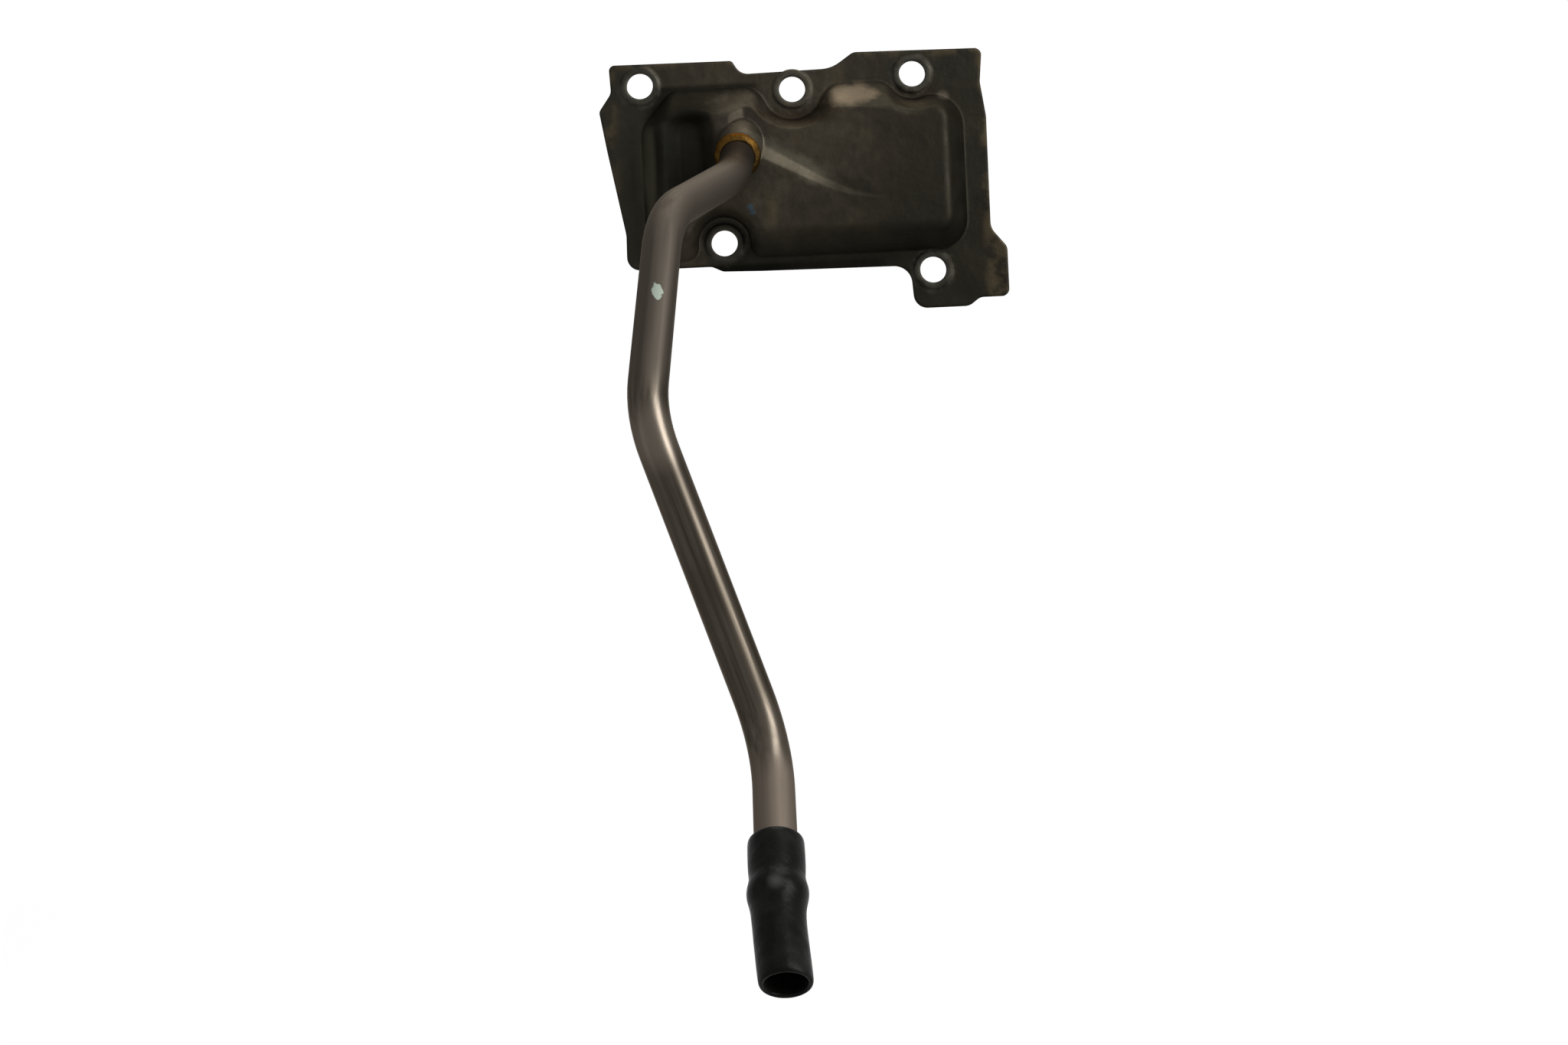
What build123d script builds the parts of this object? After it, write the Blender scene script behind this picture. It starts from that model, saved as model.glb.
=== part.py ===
"""Crankcase oil separator: a drawn steel cover that bolts to the side of an engine, with a
bent steel tube brazed into its socket and a short rubber sleeve on the tube's free end.

Millimetres. The flat back of the cover's flange lies in the plane y = 0, the engine is on the
+Y side, and the chamber and the tube stand out towards -Y. +Z is up. The origin is the centre
of the middle bolt hole of the top edge, in that plane.
"""
import math
import os

from build123d import *

os.makedirs("parts", exist_ok=True)

# Sheet and flange
sheet = 1.5                 # thickness of the cover's steel
flange_left = -66.0
flange_right = 69.2
flange_top = 11.6
flange_dip = 6.6            # the top edge is lower over the middle bolt
flange_bottom = -65.0
lug_right = 75.2            # the lower right lug stands out to the side and below
lug_left = 39.9
lug_top = -57.0
lug_bottom = -78.2
lobe_drop = 3.0             # the lug's left part reaches lower

# Bolt holes, as (x, z)
bolt_hole = 9.5             # diameter, loose round an M8 bolt
bolt_places = [(-55.0, 3.6), (0.0, 0.0), (43.6, 3.6), (-27.0, -54.6), (48.0, -67.6)]
seat_land = 1.95            # width of the pressed-up seat round each bolt hole
seat_rise = 0.6

# Chamber pressed out of the sheet
chamber_depth = 14.0        # outside, from the flange's back to the highest face
draft = 30.0                # slope of the walls, in degrees from the pressing direction
chamber_left = -56.3
chamber_right = 62.2
chamber_top = 3.2
chamber_bottom = -61.5
corner_cut = 12.5           # the upper left corner is cut off beside the bolt there
top_draft = 45.0            # the top wall is less steep
front_round = 3.5           # outside radius of the bend at the chamber's face
front_corner = 4.0          # smallest outside corner of the face, not less than that bend

# Scallops in the chamber's wall round the middle, upper right and lower left bolts, with the
# radius of each at the flange
top_scallops = [(bolt_places[1], 9.8), (bolt_places[2], 8.0)]
low_scallop_radius = 9.0
low_scallop_draft = 9.0     # this one's wall is steep
scallop_round = 5.0         # corner between a scallop and the wall beside it

# The upper right of the face falls away from a slanting step
step_line = [(-18.0, -18.0), (17.5, -39.6), (flange_right, -51.8)]
step_bend = 60.0            # radius at the line's middle point
step_drop = 3.0             # at the step's left end
step_run = 52.0             # the drop dies out over this length to the right
step_slope = 58.0           # slope of the step, in degrees from the pressing direction
press_round = 2.0

# Oblong dish pressed into the left lobe of the face
dish_place = (-37.6, -27.0)
dish_width = 8.0            # at its floor
dish_length = 30.0
dish_depth = 5.0
dish_slope = 45.0
dish_round = 2.0            # outside radius of the bend at its rim

# Tube: steel, bent cold
tube_outer = 12.0
tube_wall = 1.0
mouth_centre = Vector(-20.4, -22.0, -27.3)
bend_points = [
    Vector(-21.8, -42.0, -38.2),
    Vector(-42.5, -98.5, -60.6),
    Vector(-48.7, -133.0, -123.7),
    Vector(-16.7, -136.0, -220.0),
]
tube_end = Vector(-16.6, -172.0, -256.0)
bend_radii = [60.0, 36.0, 36.0, 36.0]
tube_tail = 8.0             # length of tube behind the socket's mouth
bead_rise = 0.5             # height of the bead that holds the sleeve
bead_length = 4.0
bead_from_end = 3.0

# Socket that the tube is brazed in
braze_gap = 0.1             # on each side of the tube
neck_length = 3.0
socket_slope = 4.0          # taper of the socket behind the neck, in degrees from its axis
socket_reach = 22.0         # length of the taper, into the chamber
braze_foot = 2.2            # width of the braze on the socket's mouth
braze_height = 2.4          # and along the tube
braze_belly = 0.2           # how far the ring's slope bulges

# Rubber sleeve
sleeve_wall = 1.8
sleeve_bore = tube_outer - 1.1      # relaxed, where it hangs past the tube
sleeve_grip = 21.5          # length on the tube
sleeve_ease = 5.0           # length of the taper from the bead down to the relaxed size
sleeve_stretch = 2.5        # length over which it widens to pass over the bead
sleeve_bend = 5.0           # length over which the free part droops out of the tube's line
sleeve_turn = 4.0           # degrees of droop
sleeve_straight = 16.0      # straight length at the open end
sleeve_fit = 0.05           # between the sleeve and the tube

# Baffle inside the chamber, bent sheet spot-welded to the chamber's face
baffle_sheet = 1.0
baffle_place = -5.0         # x of its web
baffle_foot = 10.0          # width of the foot that is welded down
baffle_edge = 2.0           # from the web's edge to the engine
baffle_top = -20.0
baffle_drain = 12.0         # clear height under the web for the oil, at the chamber's back
baffle_foot_high = -37.5    # the foot ends below the step in the face
baffle_clear = 0.5          # between the upper web and the lowered face


def on_front(depth):
    """Plane parallel to the flange, that far out from its back, drawn with X right and Z up."""
    return Plane(origin=(0, -depth, 0), x_dir=(1, 0, 0), z_dir=(0, -1, 0))


def flange_face():
    """Outline of the whole pressing, clockwise from the top left."""
    corners = [
        ((flange_left, flange_top), 2.0),
        ((-21.4, flange_top - 0.3), 1.6),
        ((-18.4, flange_dip - 0.3), 5.0),
        ((14.5, flange_dip + 0.3), 12.0),
        ((22.6, flange_top + 0.8), 4.0),
        ((flange_right, flange_top + 0.2), 2.5),
        ((flange_right - 1.2, -0.5), 6.0),
        ((flange_right + 0.5, -13.0), 8.0),
        ((flange_right + 0.3, lug_top + 3.5), 6.0),
        ((lug_right, lug_top - 3.5), 4.0),
        ((lug_right, lug_bottom), 2.5),
        ((lug_right - 10.5, lug_bottom), 4.0),
        ((lug_right - 14.5, lug_bottom - lobe_drop), 5.0),
        ((lug_left + 1.0, lug_bottom - lobe_drop), 5.0),
        ((lug_left, flange_bottom - 0.6), 6.5),
        ((-14.0, flange_bottom), 3.0),
        ((-28.0, flange_bottom + 0.4), 3.0),
        ((-32.0, flange_bottom + 2.3), 4.0),
        ((flange_left + 3.4, flange_bottom + 2.3), 4.5),
        ((flange_left + 3.6, -50.0), 12.0),
        ((flange_left - 1.8, -20.0), 20.0),
        ((flange_left - 4.2, -5.0), 2.5),
        ((flange_left + 0.4, 1.5), 4.0),
    ]
    points = [point for point, _ in corners]
    return make_face(FilletPolyline(*points, radius=[r for _, r in corners], close=True))


def chamber_face(inset):
    """Outline of the chamber at the back of the flange, drawn in by the wall where inset is set.

    The corners that the scallops leave sharp are rounded by shrinking the outline and growing
    it again.
    """
    corners = [
        (chamber_left, chamber_top - corner_cut - 2.0),
        (chamber_left + corner_cut, chamber_top),
        (chamber_right, chamber_top),
        (chamber_right, chamber_bottom),
        (chamber_left + 6.0, chamber_bottom),
        (chamber_left, chamber_bottom + 11.0),
    ]
    face = make_face(Polyline(*corners, close=True))
    for (x, z), radius in top_scallops:
        face -= Pos(x, z) * Circle(radius)
    slope = math.radians(draft)
    corner = front_corner + chamber_depth * math.tan(slope)
    face = offset(face, -corner, kind=Kind.INTERSECTION)
    grow = corner - inset / math.cos(slope)
    return offset(face, grow, kind=Kind.ARC).face()


def top_slope(inset):
    """Cutter that gives the chamber's top wall its own slope."""
    lean = math.radians(top_draft)
    root = chamber_top - inset / math.cos(lean)
    deep = 2 * chamber_depth
    outline = [(0, root), (-deep, root - deep * math.tan(lean)), (-deep, 2 * deep), (0, 2 * deep)]
    side = Plane.YZ * make_face(Polyline(*outline, close=True))
    return extrude(side, chamber_right - chamber_left, both=True)


def low_scallop_cutter(inset):
    """Steep cone that keeps the chamber clear of the lower left bolt."""
    lean = math.radians(low_scallop_draft)
    radius = low_scallop_radius + inset / math.cos(lean)
    deep = 2 * chamber_depth
    x, z = bolt_places[3]
    axis = Plane(origin=(x, 0, z), z_dir=(0, -1, 0))
    outline = [(0, 0), (radius, 0), (radius + deep * math.tan(lean), deep), (0, deep)]
    return axis * revolve(Plane.XZ * make_face(Polyline(*outline, close=True)), Axis.Z)


def recess(outline, floor, slope, inset):
    """Cutter for a form pressed back into the chamber's face, open towards the front."""
    lean = math.radians(slope)
    grow = inset * (1 - math.sin(lean)) / math.cos(lean)
    grown = offset(outline, grow, kind=Kind.ARC).face() if grow else outline
    cutter = extrude(on_front(floor - inset) * grown, 8.0, dir=(0, -1, 0), taper=-slope)
    bottom = cutter.faces().sort_by(Axis.Y)[-1]
    return fillet(bottom.edges(), press_round + inset)


def step_cutter(inset):
    """Wedge that lowers the face above the slanting step, deepest at the step's left end."""
    left = step_line[0]
    beyond = [(flange_right, flange_top), (left[0], flange_top)]
    outline = make_face(
        FilletPolyline(*step_line, *beyond, radius=[0, step_bend, 0, 0, 0], close=True)
    )
    cutter = recess(outline, chamber_depth - step_drop, step_slope, inset)
    pivot = Axis((left[0], -(chamber_depth - step_drop - inset), left[1]), (0, 0, 1))
    return cutter.rotate(pivot, -math.degrees(math.atan2(step_drop, step_run)))


def dish_cutter(inset):
    """Oblong dish in the left lobe."""
    outline = Pos(*dish_place) * SlotOverall(dish_length, dish_width, rotation=90)
    return recess(outline.face(), chamber_depth - dish_depth, dish_slope, inset)


def mouth_plane():
    """Plane of the socket's mouth, facing out along the tube."""
    return Plane(origin=mouth_centre, z_dir=bend_points[0] - mouth_centre)


def turned(outline, plane):
    """Solid turned about the plane's normal; the outline is drawn as radius and height."""
    return plane * revolve(Plane.XZ * make_face(outline), Axis.Z)


def socket(inset):
    """Tapered socket from inside the chamber up to the neck that holds the tube."""
    slope = math.radians(socket_slope)
    neck = tube_outer / 2 + braze_gap + sheet
    base = neck + socket_reach * math.tan(slope)
    shift = inset / math.cos(slope)
    back = -neck_length - socket_reach
    line = Polyline(
        (0, 0), (neck - inset, 0), (neck - inset, -neck_length), (base - shift, back), (0, back),
        close=True,
    )
    room = extrude(on_front(chamber_depth / 2) * chamber_face(inset), 60.0, dir=(0, -1, 0))
    return turned(line, mouth_plane()) & room


def chamber(inset):
    """Outside of the chamber, or with inset set to the sheet's thickness its inside.

    Only the outside has the small round at the dish's rim.
    """
    drawn = extrude(
        on_front(0) * chamber_face(inset), chamber_depth - inset, dir=(0, -1, 0), taper=draft
    )
    cutters = [top_slope(inset), low_scallop_cutter(inset)]
    body = drawn - cutters[0] - cutters[1]
    corners = [
        edge
        for edge in new_edges(drawn, *cutters, combined=body)
        if abs((edge @ 1 - edge @ 0).Y) > chamber_depth / 3
    ]
    body = fillet(corners, scallop_round - inset)
    body = fillet(body.faces().sort_by(Axis.Y)[0].edges(), front_round - inset)
    dish = dish_cutter(inset)
    dished = body - dish
    if not inset:
        dished = fillet(new_edges(body, dish, combined=dished), dish_round)
    return dished - step_cutter(inset) + socket(inset)


def seat(place, rise):
    """Low round seat with sloped sides, pressed up round a bolt hole."""
    x, z = place
    disc = on_front(0) * Pos(x, z) * Circle(bolt_hole / 2 + seat_land + rise)
    return extrude(disc, rise, dir=(0, -1, 0), taper=45)


def cover():
    """The whole pressing: flange, chamber, socket and bolt seats in one sheet."""
    outer = extrude(on_front(0) * flange_face(), sheet, dir=(0, -1, 0)) + chamber(0)
    inner = chamber(sheet)
    for place in bolt_places:
        outer += Pos(0, -sheet, 0) * seat(place, seat_rise)
        inner += seat(place, seat_rise)
    pressing = outer - inner
    for x, z in bolt_places:
        hole = extrude(on_front(-1) * Pos(x, z) * Circle(bolt_hole / 2), sheet + seat_rise + 2)
        pressing -= hole
    bore = tube_outer / 2 + braze_gap
    return pressing - mouth_plane() * Cylinder(bore, 2 * neck_length)


def tube():
    """Bent tube, open at both ends, with a raised bead near its free end."""
    inward = (mouth_centre - bend_points[0]).normalized()
    start = mouth_centre + inward * tube_tail
    path = FilletPolyline(start, *bend_points, tube_end, radius=bend_radii)
    end = Plane(origin=path @ 0, z_dir=path % 0)
    ring = Circle(tube_outer / 2) - Circle(tube_outer / 2 - tube_wall)
    pipe = sweep(end * ring, path=path)
    skin = tube_outer / 2
    root = skin - tube_wall / 2
    low = -bead_from_end - bead_length / 2
    high = -bead_from_end + bead_length / 2
    line = Polyline((root, high), (root, low), (skin, low))
    line += ThreePointArc((skin, low), (skin + bead_rise, -bead_from_end), (skin, high))
    line += Polyline((skin, high), (root, high))
    return pipe + turned(line, end_plane())


def end_plane():
    """Plane of the tube's free end, facing out along the tube."""
    return Plane(origin=tube_end, z_dir=tube_end - bend_points[-1])


def braze_ring():
    """Fillet of braze metal on the socket's mouth, all the way round the tube."""
    inside = tube_outer / 2
    outside = inside + braze_foot
    middle = (inside + outside) / 2
    line = Polyline(
        (inside, 0),
        (outside, 0),
        (middle + braze_belly, braze_height / 2 + braze_belly),
        (inside, braze_height),
        close=True,
    )
    return turned(line, mouth_plane())


def sleeve():
    """Short length of thin hose pushed over the tube's bead, its far end open."""
    grip = tube_outer / 2 + sleeve_fit
    bulge = grip + bead_rise
    relaxed = sleeve_bore / 2
    bead = -bead_from_end
    half = bead_length / 2
    inside = [
        (grip, -sleeve_grip),
        (grip, bead - half - sleeve_stretch),
        (bulge, bead - half / 2),
        (bulge, bead + half / 2),
        (relaxed, sleeve_ease),
    ]
    outside = [
        (relaxed + sleeve_wall, sleeve_ease),
        (bulge + sleeve_wall, bead),
        (grip + sleeve_wall, bead - half - sleeve_stretch),
        (grip + sleeve_wall, -sleeve_grip),
    ]
    held = turned(Polyline(*inside, *outside, close=True), end_plane())
    return held + hanging_end(relaxed)


def sleeve_path():
    """Middle line of the sleeve's free length: a slight droop to the right, then straight."""
    plane = end_plane()
    along = plane.z_dir
    side = (Vector(1, 0, 0) - along * along.X).normalized()
    turn = math.radians(sleeve_turn)
    start = plane.origin + along * sleeve_ease
    reach = sleeve_bend / turn

    def spot(angle):
        return start + along * (reach * math.sin(angle)) + side * (reach * (1 - math.cos(angle)))

    bend = ThreePointArc(spot(0), spot(turn / 2), spot(turn))
    straight = (along * math.cos(turn) + side * math.sin(turn)) * sleeve_straight
    return Wire([bend.edge(), Edge.make_line(spot(turn), spot(turn) + straight)])


def hanging_end(relaxed):
    """Free length of the sleeve."""
    path = sleeve_path()
    ring = Circle(relaxed + sleeve_wall) - Circle(relaxed)
    return sweep(Plane(origin=path @ 0, z_dir=path % 0) * ring, path=path)


def baffle():
    """Sheet baffle across the chamber: a foot welded to the face and a web towards the engine."""
    front = chamber_depth - sheet
    low = chamber_bottom + baffle_drain
    upper_front = front - step_drop - baffle_clear
    web = Polyline(
        (-baffle_edge, low),
        (-front, low),
        (-front, baffle_foot_high),
        (-upper_front, baffle_foot_high),
        (-upper_front, baffle_top),
        (-baffle_edge, baffle_top),
        close=True,
    )
    across = Plane(origin=(baffle_place, 0, 0), x_dir=(0, 1, 0), z_dir=(1, 0, 0))
    web = extrude(across * make_face(web), baffle_sheet)
    foot = on_front(front) * Pos(baffle_place, low) * Rectangle(
        baffle_foot, baffle_foot_high - low, align=(Align.MIN, Align.MIN)
    )
    return web + extrude(foot, -baffle_sheet)


pieces = {
    "separator_cover": cover(),
    "outlet_tube": tube(),
    "braze_ring": braze_ring(),
    "rubber_sleeve": sleeve(),
    "baffle_plate": baffle(),
}
for name, piece in pieces.items():
    export_step(piece, f"parts/{name}.step")
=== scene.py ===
import math

import bpy
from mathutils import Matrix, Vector


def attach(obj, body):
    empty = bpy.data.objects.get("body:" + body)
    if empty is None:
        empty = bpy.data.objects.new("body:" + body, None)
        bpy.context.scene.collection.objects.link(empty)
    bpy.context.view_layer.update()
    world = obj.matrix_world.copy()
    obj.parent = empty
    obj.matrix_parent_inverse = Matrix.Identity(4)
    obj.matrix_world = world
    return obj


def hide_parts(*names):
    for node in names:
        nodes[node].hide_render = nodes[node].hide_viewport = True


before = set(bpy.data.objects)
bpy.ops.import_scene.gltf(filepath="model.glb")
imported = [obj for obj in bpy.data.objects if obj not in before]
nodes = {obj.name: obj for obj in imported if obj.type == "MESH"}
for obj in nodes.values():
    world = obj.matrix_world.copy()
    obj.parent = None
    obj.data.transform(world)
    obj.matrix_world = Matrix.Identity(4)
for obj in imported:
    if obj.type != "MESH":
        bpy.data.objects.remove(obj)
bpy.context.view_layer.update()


# Camera: square to the cover's flange and about level with the object's middle, so it looks up a
# little at the cover and down at the sleeve. It is turned a little about its own line of sight, as
# the photograph is.
def place_camera():
    picture_width = 2048
    focal_pixels = 2300
    sensor_width = 36.0
    place = (-0.0103, -0.639, -0.15654)
    roll = 2.7
    data = bpy.data.cameras.new("camera")
    data.sensor_width = sensor_width
    data.lens = sensor_width * focal_pixels / picture_width
    data.clip_start = 0.01
    data.clip_end = 20.0
    camera = bpy.data.objects.new("camera", data)
    bpy.context.scene.collection.objects.link(camera)
    camera.location = place
    camera.rotation_euler = (math.radians(90), math.radians(roll), 0)
    bpy.context.scene.camera = camera


place_camera()


# Room: a plain white floor and a plain white wall, some way off so that their shadows are faint.
# The camera and mirror-like surfaces see both as plain white; the floor still takes a shadow.
def looked_at(tree):
    """One where the camera, a reflection or glass looks, and zero for the light that falls."""
    path = tree.nodes.new("ShaderNodeLightPath")
    total = path.outputs["Is Camera Ray"]
    for kind in ("Is Glossy Ray", "Is Transmission Ray"):
        either = tree.nodes.new("ShaderNodeMath")
        either.operation = "MAXIMUM"
        tree.links.new(total, either.inputs[0])
        tree.links.new(path.outputs[kind], either.inputs[1])
        total = either.outputs[0]
    return total


def all_white(tree):
    """No matt at all, for a surface that is far off."""
    plain = tree.nodes.new("ShaderNodeValue")
    plain.outputs[0].default_value = 1.0
    return plain.outputs[0]


def white_further_off(tree):
    """A little matt under the object, for its shadow, going over into plain white behind it."""
    fade_start = 0.2
    fade_end = 0.75
    white_under_object = 0.90
    place = tree.nodes.new("ShaderNodeTexCoord").outputs["Object"]
    apart = tree.nodes.new("ShaderNodeSeparateXYZ")
    fade = tree.nodes.new("ShaderNodeMapRange")
    fade.inputs["From Min"].default_value = fade_start
    fade.inputs["From Max"].default_value = fade_end
    fade.inputs["To Min"].default_value = white_under_object
    fade.inputs["To Max"].default_value = 1.0
    tree.links.new(place, apart.inputs[0])
    tree.links.new(apart.outputs["Y"], fade.inputs["Value"])
    return fade.outputs["Result"]


def white_paint(name, shown_white):
    """Matt white that looks plain white; shown_white gives the share of plain white that is seen."""
    material = bpy.data.materials.new(name)
    material.use_nodes = True
    tree = material.node_tree
    tree.nodes.clear()
    output = tree.nodes.new("ShaderNodeOutputMaterial")
    matt = tree.nodes.new("ShaderNodeBsdfDiffuse")
    matt.inputs["Color"].default_value = (0.8, 0.8, 0.8, 1)
    glow = tree.nodes.new("ShaderNodeEmission")
    glow.inputs["Strength"].default_value = 1.0
    share = tree.nodes.new("ShaderNodeMath")
    share.operation = "MULTIPLY"
    mix = tree.nodes.new("ShaderNodeMixShader")
    tree.links.new(looked_at(tree), share.inputs[0])
    tree.links.new(shown_white(tree), share.inputs[1])
    tree.links.new(share.outputs[0], mix.inputs["Fac"])
    tree.links.new(matt.outputs[0], mix.inputs[1])
    tree.links.new(glow.outputs[0], mix.inputs[2])
    tree.links.new(mix.outputs[0], output.inputs["Surface"])
    material.cycles.emission_sampling = "NONE"
    return material


def build_room():
    """Floor and wall, and a world that is white to look at and gives only a low light."""
    room_size = 8.0
    floor_level = -0.40
    wall_place = 0.9
    upright = (math.radians(90), 0, 0)
    low_light = 0.30
    bpy.ops.object.select_all(action="DESELECT")
    bpy.ops.mesh.primitive_plane_add(size=room_size, location=(0, 0, floor_level))
    floor = bpy.context.object
    floor.name = "floor"
    floor.data.materials.append(white_paint("floor_white", white_further_off))
    bpy.ops.mesh.primitive_plane_add(size=room_size, location=(0, wall_place, 0), rotation=upright)
    wall = bpy.context.object
    wall.name = "wall"
    wall.data.materials.append(white_paint("wall_white", all_white))

    world = bpy.data.worlds.new("room_light")
    bpy.context.scene.world = world
    world.use_nodes = True
    world.cycles.sampling_method = "NONE"
    tree = world.node_tree
    background = tree.nodes["Background"]
    background.inputs["Color"].default_value = (1, 1, 1, 1)
    shown = tree.nodes.new("ShaderNodeMapRange")
    shown.inputs["To Min"].default_value = low_light
    shown.inputs["To Max"].default_value = 1.0
    tree.links.new(looked_at(tree), shown.inputs["Value"])
    tree.links.new(shown.outputs["Result"], background.inputs["Strength"])


build_room()


# Lamps: one large and soft overhead for the pressing's sloping top, a strong tall one on the right
# that draws the streak down the tube, and a small one high on the right for the glint at its last
# bend. Two weak ones, high in front and on the left, lift the sides that those leave dark.
def add_lamp(name, place, size, power):
    object_middle = Vector((0.0, -0.08, -0.12))
    data = bpy.data.lights.new(name, "AREA")
    data.shape = "RECTANGLE"
    data.size, data.size_y = size
    data.energy = power
    lamp = bpy.data.objects.new(name, data)
    bpy.context.scene.collection.objects.link(lamp)
    lamp.location = place
    lamp.rotation_euler = (object_middle - Vector(place)).to_track_quat("-Z", "Y").to_euler()


add_lamp("lamp_above", place=(0.10, 0.22, 0.80), size=(0.7, 0.55), power=9.0)
add_lamp("lamp_right", place=(0.92, -0.70, 0.30), size=(0.52, 0.95), power=23.0)
add_lamp("lamp_high_right", place=(0.52, -0.66, 0.76), size=(0.36, 0.40), power=6.0)
add_lamp("lamp_front_high", place=(-0.03, -0.77, 0.90), size=(0.9, 0.5), power=1.4)
add_lamp("lamp_left", place=(-0.8, -0.5, -0.1), size=(0.3, 0.8), power=0.3)
bpy.context.scene.view_settings.view_transform = "Standard"


# Separator cover: one sheet of steel, drawn to shape in a press, with a flange, five holes and a
# tapered socket. It has been through the braze furnace and in oil, so it is a dull brown-black.
# The baffle welded inside it is cut from the same steel.
dark_steel = (0.0125, 0.0118, 0.0088)
straw = (0.052, 0.039, 0.022)


def new_material(name):
    """A material with its node tree, its shader and its object coordinates ready."""
    material = bpy.data.materials.new(name)
    material.use_nodes = True
    tree = material.node_tree
    shader = tree.nodes["Principled BSDF"]
    place = tree.nodes.new("ShaderNodeTexCoord").outputs["Object"]
    return material, tree, shader, place


def noise(tree, place, scale, detail=4.0, stretch=(1, 1, 1)):
    """Cloudy pattern from 0 to 1; a stretch below 1 draws it out along that axis."""
    spread = tree.nodes.new("ShaderNodeMapping")
    spread.inputs["Scale"].default_value = stretch
    cloud = tree.nodes.new("ShaderNodeTexNoise")
    cloud.inputs["Scale"].default_value = scale
    cloud.inputs["Detail"].default_value = detail
    cloud.inputs["Roughness"].default_value = 0.55
    tree.links.new(place, spread.inputs["Vector"])
    tree.links.new(spread.outputs[0], cloud.inputs["Vector"])
    return cloud.outputs["Fac"]


def ramp(tree, value, start, end, to_start=0.0, to_end=1.0):
    """Smooth way from to_start, where the value is at its start, to to_end, where it is at its end.
    The start may be the higher of the two."""
    step = tree.nodes.new("ShaderNodeMapRange")
    step.interpolation_type = "SMOOTHSTEP"
    if start > end:
        start, end, to_start, to_end = end, start, to_end, to_start
    step.inputs["From Min"].default_value = start
    step.inputs["From Max"].default_value = end
    step.inputs["To Min"].default_value = to_start
    step.inputs["To Max"].default_value = to_end
    tree.links.new(value, step.inputs["Value"])
    return step.outputs["Result"]


def tint(tree, amount, first, second):
    """First colour where the amount is 0, second where it is 1; a colour may be a socket."""
    mix = tree.nodes.new("ShaderNodeMix")
    mix.data_type = "RGBA"
    tree.links.new(amount, mix.inputs["Factor"])
    for colour, socket in ((first, mix.inputs["A"]), (second, mix.inputs["B"])):
        if isinstance(colour, tuple):
            socket.default_value = (*colour, 1)
        else:
            tree.links.new(colour, socket)
    return mix.outputs["Result"]


def arithmetic(tree, kind, first, second):
    """One step of arithmetic on a value and a second value or plain number."""
    result = tree.nodes.new("ShaderNodeMath")
    result.operation = kind
    tree.links.new(first, result.inputs[0])
    if isinstance(second, float):
        result.inputs[1].default_value = second
    else:
        tree.links.new(second, result.inputs[1])
    return result.outputs[0]


def times(tree, first, second):
    return arithmetic(tree, "MULTIPLY", first, second)


def plus(tree, first, second):
    return arithmetic(tree, "ADD", first, second)


def larger(tree, first, second):
    return arithmetic(tree, "MAXIMUM", first, second)


def laid_over(tree, colour, new_colour, where, strength):
    """Colour with the new colour laid over it at that strength where the pattern is 1."""
    return tint(tree, times(tree, where, strength), colour, new_colour)


def area(tree, *sides):
    """One inside all the sides given. A side is a value, where the area starts and where it is whole."""
    value, start, whole = sides[0]
    inside = ramp(tree, value, start, whole)
    for value, start, whole in sides[1:]:
        inside = times(tree, inside, ramp(tree, value, start, whole))
    return inside


def near(tree, place, spot, size, soft, ragged=0.0, ragged_scale=300.0, turn=0.0):
    """One inside an egg shape of half-widths size round a spot, falling to zero over its soft rim.
    The shape may be turned about Y, in degrees, and its rim made ragged."""
    local = tree.nodes.new("ShaderNodeMapping")
    local.vector_type = "TEXTURE"
    local.inputs["Location"].default_value = spot
    local.inputs["Rotation"].default_value = (0, math.radians(turn), 0)
    local.inputs["Scale"].default_value = size
    reach = tree.nodes.new("ShaderNodeVectorMath")
    reach.operation = "LENGTH"
    tree.links.new(place, local.inputs["Vector"])
    tree.links.new(local.outputs[0], reach.inputs[0])
    total = reach.outputs["Value"]
    if ragged:
        cloud = noise(tree, place, ragged_scale)
        rough = ramp(tree, cloud, start=0.3, end=0.7, to_start=-ragged, to_end=ragged)
        total = plus(tree, total, rough)
    return ramp(tree, total, start=1.0 - soft, end=1.0 + soft, to_start=1.0, to_end=0.0)


def bumps(tree, heights, normal=None):
    """Normal from a list of (height, depth in metres); each is laid on the one before."""
    for height, depth in heights:
        bump = tree.nodes.new("ShaderNodeBump")
        bump.inputs["Distance"].default_value = depth
        tree.links.new(height, bump.inputs["Height"])
        if normal:
            tree.links.new(normal, bump.inputs["Normal"])
        normal = bump.outputs["Normal"]
    return normal


def pressed_bends(tree, radius):
    """Normal that turns over smoothly at a bend, as sheet does in a press."""
    bevel = tree.nodes.new("ShaderNodeBevel")
    bevel.samples = 8
    bevel.inputs["Radius"].default_value = radius
    return bevel.outputs["Normal"]


def clouded_steel(tree, place):
    """The sheet all over: cloudy dark steel, worn lighter in specks, with straw-coloured stains."""
    face = (0.0240, 0.0200, 0.0142)
    shade = (0.0165, 0.0150, 0.0110)
    worn = (0.048, 0.041, 0.030)
    cloudy = ramp(tree, noise(tree, place, scale=48.0), start=0.35, end=0.68)
    specks = ramp(tree, noise(tree, place, scale=240.0, detail=6.0), start=0.35, end=0.75)
    stains = noise(tree, place, scale=95.0, stretch=(1, 1, 0.45))
    stains = ramp(tree, stains, start=0.52, end=0.72)
    colour = tint(tree, cloudy, face, shade)
    colour = laid_over(tree, colour, worn, specks, strength=0.30)
    return laid_over(tree, colour, straw, stains, strength=0.35)


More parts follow.
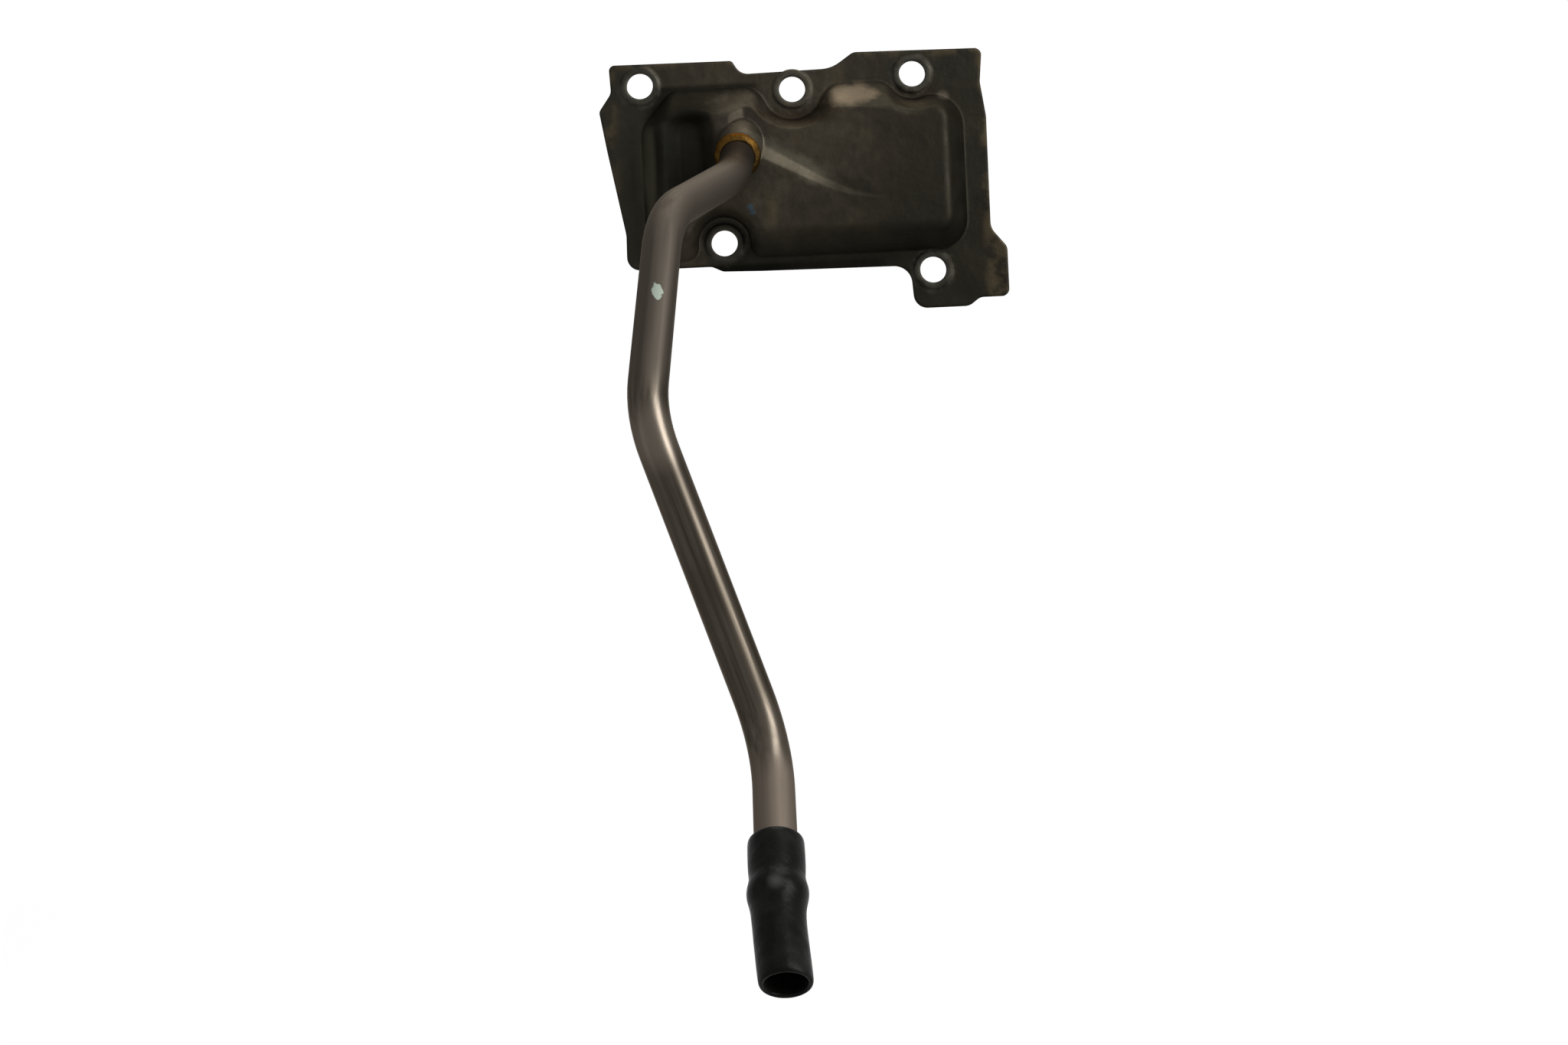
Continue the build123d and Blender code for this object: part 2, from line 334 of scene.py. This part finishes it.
def shaded_and_darker_areas(tree, place, across, height, colour):
    """Broad darker areas: painted shade in the dish, on the lower wall and on its flange edge; a darker
    left end, right half, lower face and top edge.
    """
    dish_painted_shade = (0.0062, 0.0064, 0.0050)
    darker_right = (0.0088, 0.0081, 0.0060)
    lower_wall_painted_shade = (0.0040, 0.0042, 0.0031)
    flange_edge_painted_shade = (0.0022, 0.0025, 0.0018)
    lower_face_darker = (0.0085, 0.0074, 0.0052)
    left_end = area(tree, (across, -0.040, -0.058))
    colour = laid_over(tree, colour, dark_steel, left_end, strength=0.75)
    # Painted shade: the dish is darkened where shade falls in it.
    dish = near(tree, place, spot=(-0.0399, -0.012, -0.0256), size=(0.0150, 0.03, 0.0205), soft=0.5)
    colour = laid_over(tree, colour, dish_painted_shade, dish, strength=0.85)
    right_half = area(tree, (across, 0.012, 0.046))
    colour = laid_over(tree, colour, darker_right, right_half, strength=0.85)
    # Painted shade: the chamber's lower wall faces down, and the flange strip under it lies in its
    # shadow.
    lower_wall = area(
        tree, (height, -0.048, -0.062), (across, 0.042, 0.030), (across, -0.044, -0.020)
    )
    colour = laid_over(tree, colour, lower_wall_painted_shade, lower_wall, strength=0.65)
    flange_edge = area(tree, (height, -0.0615, -0.0635), (across, 0.034, 0.026))
    colour = laid_over(tree, colour, flange_edge_painted_shade, flange_edge, strength=0.9)
    lower_face = area(tree, (height, -0.030, -0.046), (across, -0.012, 0.004))
    colour = laid_over(tree, colour, lower_face_darker, lower_face, strength=0.45)
    top_edge = area(tree, (height, -0.004, 0.006))
    return laid_over(tree, colour, dark_steel, top_edge, strength=0.35)


def wall_tones(tree, place, across, height, colour):
    """Walls of the chamber: a left side lightened with painted light, and a top wall with a painted
    highlight between two darker lengths.
    """
    left_side_painted_light = (0.044, 0.041, 0.028)
    darker_left_top = (0.0048, 0.0044, 0.0031)
    darker_right = (0.0135, 0.0110, 0.0078)
    painted_highlight = (0.068, 0.053, 0.036)
    # Painted light: the chamber's left side is lightened as if it caught the light.
    left_side = near(
        tree, place, spot=(-0.0545, -0.0075, -0.0260), size=(0.0050, 0.0060, 0.0220), soft=0.4
    )
    colour = laid_over(tree, colour, left_side_painted_light, left_side, strength=0.8)
    left_top = area(
        tree,
        (across, -0.0095, -0.0155),
        (height, -0.0150, -0.0110),
        (height, 0.0040, 0.0020),
        (across, -0.0560, -0.0500),
    )
    colour = laid_over(tree, colour, darker_left_top, left_top, strength=0.85)
    right_top = near(
        tree, place, spot=(0.0430, -0.0080, -0.0055), size=(0.0105, 0.02, 0.0050), soft=0.3,
        ragged=0.2, ragged_scale=180.0,
    )
    colour = laid_over(tree, colour, darker_right, right_top, strength=0.8)
    # Painted highlight: the middle of the top wall, which faces up to the light.
    middle_top = near(
        tree, place, spot=(0.0210, -0.0080, -0.0042), size=(0.0095, 0.02, 0.0048), soft=0.35,
        ragged=0.2, ragged_scale=200.0,
    )
    return laid_over(tree, colour, painted_highlight, middle_top, strength=0.9)


def face_tones(tree, place, colour):
    """Painted light on the socket's neck and a painted highlight on the slanting step, with the step's
    darker lower end.
    """
    neck_painted_light = (0.0220, 0.0184, 0.0136)
    step_painted_highlight = (0.058, 0.051, 0.037)
    step_end_darker = (0.0105, 0.0096, 0.0070)
    # Painted light: the socket's upward-facing neck is lightened.
    neck = near(
        tree, place, spot=(-0.0205, -0.0130, -0.0130), size=(0.0098, 0.02, 0.0125), soft=0.45,
        ragged=0.25, ragged_scale=160.0,
    )
    colour = laid_over(tree, colour, neck_painted_light, neck, strength=0.85)
    # Painted highlight along the slanting step's lit upper face.
    step = near(
        tree, place, spot=(-0.0010, -0.0130, -0.0285), size=(0.021, 0.02, 0.0034), soft=0.5,
        ragged=0.30, ragged_scale=140.0, turn=31.0,
    )
    colour = laid_over(tree, colour, step_painted_highlight, step, strength=0.8)
    step_end = near(
        tree, place, spot=(0.0190, -0.0130, -0.0395), size=(0.0110, 0.02, 0.0045), soft=0.4,
        ragged=0.2, ragged_scale=140.0, turn=27.0,
    )
    return laid_over(tree, colour, step_end_darker, step_end, strength=0.7)


def small_marks(tree, place, colour):
    """Brown scallop under the middle bolt, a painted shine on the right corner, and painted shade for a
    small dimple on the top edge.
    """
    scallop_brown = (0.0145, 0.0105, 0.0070)
    corner_shine = (0.040, 0.033, 0.024)
    scallop = near(
        tree, place, spot=(0.0000, -0.0100, -0.0110), size=(0.0125, 0.02, 0.0045), soft=0.45,
        ragged=0.30, ragged_scale=180.0,
    )
    colour = laid_over(tree, colour, scallop_brown, scallop, strength=0.8)
    # Painted highlight on the right corner.
    corner = near(tree, place, spot=(0.0544, -0.0110, -0.0050), size=(0.0022, 0.02, 0.0020), soft=0.5)
    colour = tint(tree, corner, colour, corner_shine)
    # Painted shade: a dark spot for a small dimple on the top edge.
    dimple_shade = near(
        tree, place, spot=(0.0358, -0.002, 0.0089), size=(0.0040, 0.02, 0.0035), soft=0.5,
        ragged=0.3, ragged_scale=200.0,
    )
    return laid_over(tree, colour, dark_steel, dimple_shade, strength=0.7)


def bolt_seat_highlights(tree, place, colour):
    """Seats round the five bolt holes, painted a little lighter as a highlight on their rims."""
    bolt_holes = (
        (-0.0550, 0.0036), (0.0, 0.0), (0.0436, 0.0036), (-0.0270, -0.0546), (0.0480, -0.0676),
    )
    seat_highlight = (0.050, 0.047, 0.038)
    # Painted highlight: a lighter ring round each hole, where light falls on the seat's rim.
    for across, height in bolt_holes:
        seat = near(
            tree, place, spot=(across, -0.001, height), size=(0.0070, 0.010, 0.0070), soft=0.25,
            ragged=0.2, ragged_scale=260.0,
        )
        colour = laid_over(tree, colour, seat_highlight, seat, strength=0.35)
    return colour


def rim_stains(tree, place, across, height, colour):
    """Straw-coloured stains in patches along the flange's left, right and top rim."""
    left_rim = area(tree, (across, -0.0625, -0.0655))
    right_rim = area(tree, (across, 0.0655, 0.0685))
    top_rim = area(tree, (height, 0.0085, 0.0112))
    rim = larger(tree, larger(tree, left_rim, right_rim), top_rim)
    patches = ramp(tree, noise(tree, place, scale=120.0), start=0.42, end=0.62)
    return laid_over(tree, colour, straw, times(tree, rim, patches), strength=0.35)


def paint_dabs(tree, place, colour):
    """Two small dabs of blue paint on the face, below the step."""
    blue_paint = (0.022, 0.036, 0.046)
    upper_dab = (-0.0170, -0.0140, -0.0442)
    lower_dab = (-0.0163, -0.0140, -0.0462)
    for spot, size in ((upper_dab, 0.0011), (lower_dab, 0.0009)):
        dab = near(
            tree, place, spot, size=(size, 0.003, size), soft=0.3, ragged=0.35, ragged_scale=900.0
        )
        colour = laid_over(tree, colour, blue_paint, dab, strength=0.8)
    return colour


def cover_colour(tree, place):
    """Oil-dark steel with its lighter and darker places, painted light and shade among them, from the
    broad ones to the small ones.
    """
    apart = tree.nodes.new("ShaderNodeSeparateXYZ")
    tree.links.new(place, apart.inputs[0])
    across = apart.outputs["X"]
    height = apart.outputs["Z"]
    colour = clouded_steel(tree, place)
    colour = shaded_and_darker_areas(tree, place, across, height, colour)
    colour = wall_tones(tree, place, across, height, colour)
    colour = face_tones(tree, place, colour)
    colour = small_marks(tree, place, colour)
    colour = bolt_seat_highlights(tree, place, colour)
    colour = rim_stains(tree, place, across, height, colour)
    return paint_dabs(tree, place, colour)


def cover_finish():
    """Dull steel, slightly wavy and with a fine grain, duller where oil has dried in the dish."""
    duller_in_dish = 0.25
    bend_radius = 0.0014
    wave_height = 0.0007
    grain_height = 0.00003
    material, tree, shader, place = new_material("cover_steel")
    tree.links.new(cover_colour(tree, place), shader.inputs["Base Color"])
    shader.inputs["Metallic"].default_value = 0.9
    shader.inputs["Specular IOR Level"].default_value = 0.2
    shader.inputs["Specular Tint"].default_value = (0.50, 0.48, 0.45, 1)
    dullness = noise(tree, place, scale=90.0, detail=6.0)
    dullness = ramp(tree, dullness, start=0.3, end=0.7, to_start=0.46, to_end=0.62)
    dish = near(tree, place, spot=(-0.0385, -0.012, -0.0260), size=(0.0150, 0.03, 0.0230), soft=0.4)
    dullness = plus(tree, dullness, times(tree, dish, duller_in_dish))
    tree.links.new(dullness, shader.inputs["Roughness"])
    waves = noise(tree, place, scale=70.0)
    grain = noise(tree, place, scale=1300.0, detail=3.0)
    bends = pressed_bends(tree, bend_radius)
    surface = bumps(tree, [(waves, wave_height), (grain, grain_height)], bends)
    tree.links.new(surface, shader.inputs["Normal"])
    return material


cover_steel = cover_finish()
for name in ("separator_cover", "baffle_plate"):
    nodes[name].data.materials.clear()
    nodes[name].data.materials.append(cover_steel)


# Outlet tube: cold-drawn steel tube, bent in a bender. It is bare and satin, with marks along its
# length from drawing, sooty at the cover, with painted glints at its last two bends, and it has a
# dab of pale paint from its inspection.
def drawn_streaks(tree, place, direction, scale, detail):
    """Fine streaks that run along the tube's direction."""
    turn = Vector(direction).rotation_difference(Vector((0, 0, 1)))
    upright = tree.nodes.new("ShaderNodeVectorRotate")
    upright.rotation_type = "AXIS_ANGLE"
    upright.inputs["Axis"].default_value = turn.axis
    upright.inputs["Angle"].default_value = turn.angle
    tree.links.new(place, upright.inputs["Vector"])
    return noise(tree, upright.outputs[0], scale, detail=detail, stretch=(1, 1, 0.03))


def streaks_round_bends(tree, place, scale, detail):
    """Streaks along each straight of the tube, going over into the next at the bend between."""
    first_straight = (-20.7, -56.5, -22.4)
    bends_and_next_straights = (
        (-0.0606, (-6.2, -34.5, -63.1)),
        (-0.1237, (32.0, -3.0, -96.3)),
        (-0.2200, (0.1, -36.0, -36.0)),
    )
    bend_reach = 0.006
    height = tree.nodes.new("ShaderNodeSeparateXYZ")
    tree.links.new(place, height.inputs[0])
    total = drawn_streaks(tree, place, first_straight, scale, detail)
    for level, direction in bends_and_next_straights:
        below = ramp(tree, height.outputs["Z"], level + bend_reach, level - bend_reach)
        total = tint(tree, below, total, drawn_streaks(tree, place, direction, scale, detail))
    return total


def tube_finish():
    """Satin steel, duller and oily above the third bend, and duller and bare by the sleeve."""
    grey = (0.054, 0.0455, 0.0365)
    brown = (0.028, 0.0235, 0.0180)
    oily = (0.045, 0.0385, 0.0315)
    drawing_marks = (0.0230, 0.0195, 0.0160)
    sooty = (0.019, 0.0160, 0.0128)
    bare = (0.098, 0.080, 0.064)
    painted_highlight = (0.098, 0.083, 0.067)
    pale_paint = (0.150, 0.178, 0.148)
    satin_glint = (0.60, 0.57, 0.54)
    sooty_glint = (0.20, 0.18, 0.16)
    last_bend_share = 0.45
    duller_at_ends = 0.31
    scratch_height = 0.00001
    material, tree, shader, place = new_material("tube_steel")
    apart = tree.nodes.new("ShaderNodeSeparateXYZ")
    tree.links.new(place, apart.inputs[0])
    outward = apart.outputs["Y"]
    height = apart.outputs["Z"]

    streaks = streaks_round_bends(tree, place, scale=520.0, detail=3.0)
    scratches = streaks_round_bends(tree, place, scale=240.0, detail=0.0)
    stains = ramp(tree, noise(tree, place, scale=55.0), start=0.48, end=0.72)
    colour = tint(tree, ramp(tree, streaks, start=0.34, end=0.66), grey, brown)
    colour = laid_over(tree, colour, brown, stains, strength=0.45)
    by_cover = area(tree, (height, -0.122, -0.106))
    colour = laid_over(tree, colour, oily, by_cover, strength=0.85)
    marks = ramp(tree, scratches, start=0.50, end=0.66)
    colour = laid_over(tree, colour, drawing_marks, marks, strength=0.50)
    by_mouth = area(tree, (outward, -0.062, -0.030))
    colour = laid_over(tree, colour, sooty, by_mouth, strength=0.90)
    by_sleeve = area(tree, (height, -0.218, -0.228))
    colour = laid_over(tree, colour, bare, by_sleeve, strength=0.7)

    # Painted glints: lighter patches at the third and last bends stand in for highlights.
    third_bend = near(
        tree, place, spot=(-0.0456, -0.1382, -0.1300), size=(0.0065, 0.0080, 0.0090), soft=0.55
    )
    last_bend = near(
        tree, place, spot=(-0.0140, -0.1423, -0.2155), size=(0.0060, 0.0080, 0.0100), soft=0.6
    )
    painted_glint = larger(tree, third_bend, times(tree, last_bend, last_bend_share))
    colour = laid_over(tree, colour, painted_highlight, painted_glint, strength=0.8)
    dab = near(
        tree, place, spot=(-0.0445, -0.1194, -0.0865), size=(0.0017, 0.0040, 0.0027), soft=0.15,
        ragged=0.28, ragged_scale=420.0,
    )
    colour = tint(tree, dab, colour, pale_paint)
    tree.links.new(colour, shader.inputs["Base Color"])

    unpainted = ramp(tree, dab, start=0.0, end=1.0, to_start=1.0, to_end=0.0)
    tree.links.new(unpainted, shader.inputs["Metallic"])
    tree.links.new(tint(tree, by_mouth, satin_glint, sooty_glint), shader.inputs["Specular Tint"])
    dullness = ramp(tree, streaks, start=0.3, end=0.7, to_start=0.27, to_end=0.33)
    duller = times(tree, larger(tree, by_sleeve, by_cover), duller_at_ends)
    tree.links.new(plus(tree, dullness, duller), shader.inputs["Roughness"])
    tree.links.new(bumps(tree, [(scratches, scratch_height)]), shader.inputs["Normal"])
    return material


nodes["outlet_tube"].data.materials.clear()
nodes["outlet_tube"].data.materials.append(tube_finish())


# Braze ring: brass-coloured filler metal that ran round the tube in the furnace and set as an uneven
# fillet between the tube and the socket's mouth.
def drawn_out(name, start, along, rings):
    """Closed ring-shaped piece: a circle drawn out from ring to ring and joined back to the first.
    A ring is its distance along the axis, its radius and how far its middle lies off the axis."""
    sides = 72
    bpy.ops.object.select_all(action="DESELECT")
    distance, radius, aside = rings[0]
    middle = start + along * distance + aside
    facing = along.to_track_quat("Z", "Y").to_euler()
    bpy.ops.mesh.primitive_circle_add(vertices=sides, radius=radius, location=middle, rotation=facing)
    piece = bpy.context.object
    piece.name = name
    bpy.ops.object.mode_set(mode="EDIT")
    bpy.ops.mesh.select_mode(type="EDGE")
    bpy.ops.mesh.select_all(action="SELECT")
    for distance, next_radius, aside in rings[1:]:
        next_middle = start + along * distance + aside
        grow = next_radius / radius
        bpy.ops.mesh.extrude_edges_move()
        bpy.ops.transform.translate(value=next_middle - middle)
        bpy.ops.transform.resize(value=(grow, grow, grow), center_override=next_middle)
        middle = next_middle
        radius = next_radius
    bpy.ops.mesh.select_all(action="DESELECT")
    bpy.ops.mesh.select_non_manifold()
    bpy.ops.mesh.bridge_edge_loops()
    bpy.ops.mesh.select_all(action="SELECT")
    bpy.ops.mesh.normals_make_consistent(inside=False)
    bpy.ops.object.mode_set(mode="OBJECT")
    bpy.ops.object.transform_apply(location=True, rotation=True, scale=True)
    bpy.ops.object.modifier_add(type="SUBSURF")
    piece.modifiers[-1].levels = 1
    piece.modifiers[-1].render_levels = 1
    bpy.ops.object.modifier_apply(modifier=piece.modifiers[-1].name)
    bpy.ops.object.shade_smooth()
    return piece


def braze_shape():
    """Fillet drawn round the tube from the socket's mouth, and made lumpy. Its outline is given as
    distance and radius in millimetres; its inner edge lies in the tube's wall, so no gap shows."""
    mouth = Vector((-0.0204, -0.0220, -0.0273))
    first_bend = Vector((-0.0218, -0.0420, -0.0382))
    on_axis = Vector((0, 0, 0))
    outline = [
        (0.0, 5.6), (-0.1, 7.8), (0.1, 8.15), (0.8, 8.15),
        (1.5, 7.8), (2.2, 7.2), (2.8, 6.6), (3.1, 5.6),
    ]
    lump_size = 0.0030
    lump_height = 0.0009
    rings = [(distance / 1000, radius / 1000, on_axis) for distance, radius in outline]
    ring = drawn_out("braze_fillet", mouth, (first_bend - mouth).normalized(), rings)
    lumps = bpy.data.textures.new("braze_lumps", "CLOUDS")
    lumps.noise_scale = lump_size
    bpy.ops.object.modifier_add(type="DISPLACE")
    ring.modifiers[-1].texture = lumps
    ring.modifiers[-1].texture_coords = "LOCAL"
    ring.modifiers[-1].strength = lump_height
    bpy.ops.object.modifier_apply(modifier=ring.modifiers[-1].name)
    return ring


def braze_finish():
    """Old gold, burnt brown in patches and darker brown on the underside, with a rippled surface."""
    gold = (0.058, 0.0295, 0.0062)
    dark_brown = (0.034, 0.0200, 0.0060)
    ripple_height = 0.0002
    material, tree, shader, place = new_material("braze")
    apart = tree.nodes.new("ShaderNodeSeparateXYZ")
    tree.links.new(place, apart.inputs[0])
    patches = ramp(tree, noise(tree, place, scale=330.0), start=0.35, end=0.68)
    underside = area(tree, (apart.outputs["Z"], -0.0225, -0.0300))
    colour = laid_over(tree, gold, dark_brown, patches, strength=0.8)
    colour = laid_over(tree, colour, dark_brown, underside, strength=0.75)
    tree.links.new(colour, shader.inputs["Base Color"])
    shader.inputs["Metallic"].default_value = 1.0
    shader.inputs["Roughness"].default_value = 0.5
    shader.inputs["Specular Tint"].default_value = (0.30, 0.19, 0.07, 1)
    ripple = noise(tree, place, scale=800.0)
    tree.links.new(bumps(tree, [(ripple, ripple_height)]), shader.inputs["Normal"])
    return material


braze = braze_shape()
braze.data.materials.append(braze_finish())
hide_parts("braze_ring")
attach(braze, "root")


# Rubber sleeve: a short length of thin black hose, pushed over the bead at the tube's end, where it
# swells out and draws in again behind it. Its free end hangs open and droops a little.
def sleeve_shape():
    """Hose wall drawn out along the tube's line, out over its outside and back through its bore.
    Both outlines are distance past the tube's end and radius, in millimetres."""
    tube_end = Vector((-0.0166, -0.1720, -0.2560))
    last_bend = Vector((-0.0167, -0.1360, -0.2200))
    outside = [
        (-18.0, 6.60), (-18.0, 7.20), (-17.7, 7.62), (-17.0, 7.82), (-15.0, 7.85), (-12.0, 7.88),
        (-9.0, 7.84), (-7.2, 7.72), (-5.9, 7.62), (-4.6, 7.76), (-3.0, 8.20), (-1.7, 8.42),
        (-0.2, 8.36), (1.3, 8.05), (3.3, 7.55), (6.0, 7.27), (12.0, 7.24), (18.0, 7.25),
        (24.0, 7.24), (25.2, 7.12), (25.75, 6.85), (25.9, 6.45),
    ]
    bore = [
        (25.85, 6.00), (25.5, 5.65), (24.8, 5.48), (18.0, 5.45), (10.0, 5.45), (5.0, 5.55),
        (2.5, 5.95), (0.5, 6.30), (-1.5, 6.58), (-4.5, 6.58), (-6.0, 6.15), (-8.0, 6.08),
        (-17.6, 6.08),
    ]
    droop_from = 0.005
    droop_bend = 0.005
    droop = math.radians(4.0)
    along = (tube_end - last_bend).normalized()
    side = (Vector((1, 0, 0)) - along * along.x).normalized()
    rings = []
    for distance, radius in outside + bore:
        free = max(distance / 1000 - droop_from, 0.0)
        shift = min(free, droop_bend) ** 2 / (2 * droop_bend) + max(free - droop_bend, 0.0)
        rings.append((distance / 1000, radius / 1000, side * shift * math.tan(droop)))
    return drawn_out("rubber_hose_end", tube_end, along, rings)


def rubber_finish():
    """Black rubber with a little dust, and a painted highlight in one spot on its swelling."""
    black = (0.0020, 0.0020, 0.0018)
    dusty = (0.0060, 0.0060, 0.0054)
    highlight_grey = (0.040, 0.040, 0.037)
    wave_height = 0.0005
    grain_height = 0.00002
    material, tree, shader, place = new_material("rubber")
    dust = ramp(tree, noise(tree, place, scale=110.0), start=0.42, end=0.75)
    # Painted highlight: a grey spot on the swelling.
    painted_glint = near(
        tree, place, spot=(-0.0170, -0.1774, -0.2502), size=(0.0017, 0.0020, 0.0015), soft=0.9
    )
    colour = tint(tree, dust, black, dusty)
    colour = laid_over(tree, colour, highlight_grey, painted_glint, strength=0.6)
    tree.links.new(colour, shader.inputs["Base Color"])
    dullness = noise(tree, place, scale=200.0, detail=6.0)
    dullness = ramp(tree, dullness, start=0.3, end=0.7, to_start=0.28, to_end=0.40)
    tree.links.new(dullness, shader.inputs["Roughness"])
    shader.inputs["Specular IOR Level"].default_value = 0.035
    waves = noise(tree, place, scale=130.0)
    grain = noise(tree, place, scale=1200.0)
    surface = bumps(tree, [(waves, wave_height), (grain, grain_height)])
    tree.links.new(surface, shader.inputs["Normal"])
    return material


hose_end = sleeve_shape()
hose_end.data.materials.append(rubber_finish())
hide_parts("rubber_sleeve")
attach(hose_end, "root")
